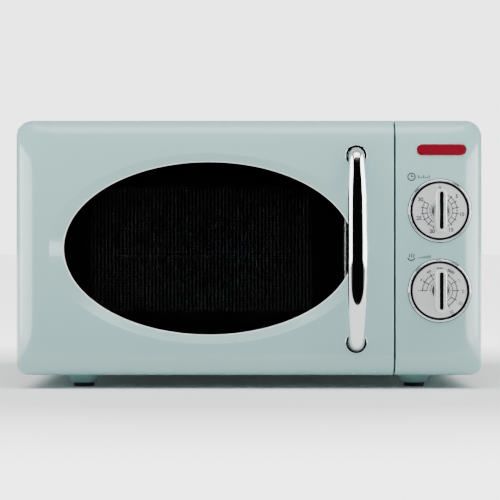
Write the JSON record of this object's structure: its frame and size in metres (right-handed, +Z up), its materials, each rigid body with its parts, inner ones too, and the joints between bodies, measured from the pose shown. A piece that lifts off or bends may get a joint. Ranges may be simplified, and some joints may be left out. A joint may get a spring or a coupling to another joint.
{
  "type": "microwave oven",
  "caption": "Countertop microwave oven with a rounded front, side-hinged door with an oval window, bow handle, dial controls, turntable and grill rack.",
  "frame": {"origin": "on the table, under the centre of the overall box", "axes": "+X to the right seen from the front, +Y towards the back, +Z up"},
  "size_m": [0.455, 0.382, 0.262],
  "materials": {
    "base_pan": "gloss",
    "feet": "matte",
    "outer_case": "gloss",
    "rear_panel": "gloss",
    "front_frame": "gloss enamel",
    "oven_cavity": "enamel",
    "control_panel": "gloss",
    "badge": "enamel",
    "dial_bezels": "polished",
    "dials": "spun",
    "timer_unit": "plated",
    "power_selector": "matte",
    "magnetron": "plain",
    "waveguide": "plated",
    "waveguide_cover": "mica",
    "transformer_core": "varnished",
    "transformer_coils": "varnished",
    "capacitor": "plain",
    "hv_diode": "matte",
    "fan_motor": "laminated",
    "fan_duct": "matte",
    "fan_blade": "matte",
    "turntable_motor": "plated",
    "grill_reflector": "bright",
    "grill_tubes": "quartz",
    "grill_guard": "polished",
    "lamp_holder": "matte",
    "lamp_bulb": "clear",
    "latch_board": "matte",
    "door_switches": "matte",
    "interlock_lever": "matte",
    "filter_board": "board",
    "cord_gland": "matte",
    "hinge_plates": "plated",
    "case_screws": "plated",
    "door_frame": "gloss",
    "door_glass": "smoked",
    "door_plate": "gloss",
    "door_screen": "perforated",
    "inner_window": "clear",
    "choke_cover": "satin",
    "hinge_bushes": "matte",
    "handle": "polished",
    "handle_sockets": "polished",
    "handle_screws": "plated",
    "latch_hook": "satin",
    "latch_spring": "plain",
    "timer_knob": "satin",
    "timer_knob_insert": "gloss",
    "timer_shaft": "turned",
    "power_knob": "satin",
    "power_knob_insert": "gloss",
    "power_shaft": "turned",
    "glass_turntable": "clear",
    "turntable_coupler": "matte",
    "roller_ring": "matte",
    "roller_wheel_1": "matte",
    "roller_wheel_2": "matte",
    "roller_wheel_3": "matte",
    "grill_rack": "polished"
  },
  "bodies": {
    "body": {"base_pan": "base_pan", "feet": "feet", "outer_case": "outer_case", "rear_panel": "rear_panel", "front_frame": "front_frame", "oven_cavity": "oven_cavity", "control_panel": "control_panel", "badge": "badge", "dial_bezels": "dial_bezels", "dials": "dials", "timer_unit": "timer_unit", "power_selector": "power_selector", "magnetron": "magnetron", "waveguide": "waveguide", "waveguide_cover": "waveguide_cover", "transformer_core": "transformer_core", "transformer_coils": "transformer_coils", "capacitor": "capacitor", "hv_diode": "hv_diode", "fan_motor": "fan_motor", "fan_duct": "fan_duct", "turntable_motor": "turntable_motor", "grill_reflector": "grill_reflector", "grill_tubes": "grill_tubes", "grill_guard": "grill_guard", "lamp_holder": "lamp_holder", "lamp_bulb": "lamp_bulb", "latch_board": "latch_board", "door_switches": "door_switches", "filter_board": "filter_board", "cord_gland": "cord_gland", "hinge_plates": "hinge_plates", "case_screws": "case_screws"},
    "door": {"door_frame": "door_frame", "door_glass": "door_glass", "door_plate": "door_plate", "door_screen": "door_screen", "inner_window": "inner_window", "choke_cover": "choke_cover", "hinge_bushes": "hinge_bushes", "handle": "handle", "handle_sockets": "handle_sockets", "handle_screws": "handle_screws"},
    "latch": {"latch_hook": "latch_hook", "latch_spring": "latch_spring"},
    "timer_control": {"timer_knob": "timer_knob", "timer_knob_insert": "timer_knob_insert", "timer_shaft": "timer_shaft"},
    "power_control": {"power_knob": "power_knob", "power_knob_insert": "power_knob_insert", "power_shaft": "power_shaft"},
    "turntable": {"glass_turntable": "glass_turntable", "turntable_coupler": "turntable_coupler", "grill_rack": "grill_rack"},
    "roller_support": {"roller_ring": "roller_ring"},
    "roller_1": {"roller_wheel_1": "roller_wheel_1"},
    "roller_2": {"roller_wheel_2": "roller_wheel_2"},
    "roller_3": {"roller_wheel_3": "roller_wheel_3"},
    "fan": {"fan_blade": "fan_blade"},
    "interlock": {"interlock_lever": "interlock_lever"}
  },
  "joints": [
    {"name": "door_hinge", "type": "hinge", "parent": "body", "child": "door", "pos_m": [-0.2185, -0.1232, 0.1375], "axis": [0, 0, -1], "range_deg": [0, 100]},
    {"name": "latch_slide", "type": "slide", "parent": "door", "child": "latch", "axis": [0, 0, 1], "range_m": [0, 0.004], "stiffness_N_per_m": 150, "springref_m": -0.006, "deforming": ["latch_spring"]},
    {"name": "timer_turn", "type": "hinge", "parent": "body", "child": "timer_control", "pos_m": [0.1848, -0.16, 0.1735], "axis": [0, 1, 0], "range_deg": [0, 300]},
    {"name": "power_turn", "type": "hinge", "parent": "body", "child": "power_control", "pos_m": [0.1848, -0.16, 0.096], "axis": [0, 1, 0], "range_deg": [-90, 150]},
    {"name": "turntable_spin", "type": "hinge", "parent": "body", "child": "turntable", "pos_m": [-0.047, 0.0303, 0.056], "axis": [0, 0, 1], "continuous": true},
    {"name": "roller_support_spin", "type": "hinge", "parent": "body", "child": "roller_support", "pos_m": [-0.047, 0.0303, 0.0485], "axis": [0, 0, 1], "continuous": true},
    {"name": "roller_1_spin", "type": "hinge", "parent": "roller_support", "child": "roller_1", "pos_m": [-0.047, 0.1213, 0.0485], "axis": [0, 1, 0], "continuous": true},
    {"name": "roller_2_spin", "type": "hinge", "parent": "roller_support", "child": "roller_2", "pos_m": [-0.12581, -0.0152, 0.0485], "axis": [-0.866, -0.5, 0], "continuous": true},
    {"name": "roller_3_spin", "type": "hinge", "parent": "roller_support", "child": "roller_3", "pos_m": [0.03181, -0.0152, 0.0485], "axis": [0.866, -0.5, 0], "continuous": true},
    {"name": "fan_spin", "type": "hinge", "parent": "body", "child": "fan", "pos_m": [0.16515, 0.1702, 0.185], "axis": [0, 1, 0], "continuous": true},
    {"name": "interlock_tip", "type": "hinge", "parent": "body", "child": "interlock", "pos_m": [0.1379, -0.0771, 0.103], "axis": [1, 0, 0], "range_deg": [0, 8], "stiffness_Nm_per_rad": 0.05}
  ],
  "couplings": [
    {"joint": "roller_support_spin", "follows": "turntable_spin", "ratio": 0.5},
    {"joint": "roller_1_spin", "follows": "turntable_spin", "ratio": -6.3194},
    {"joint": "roller_2_spin", "follows": "turntable_spin", "ratio": -6.3194},
    {"joint": "roller_3_spin", "follows": "turntable_spin", "ratio": -6.3194}
  ]
}
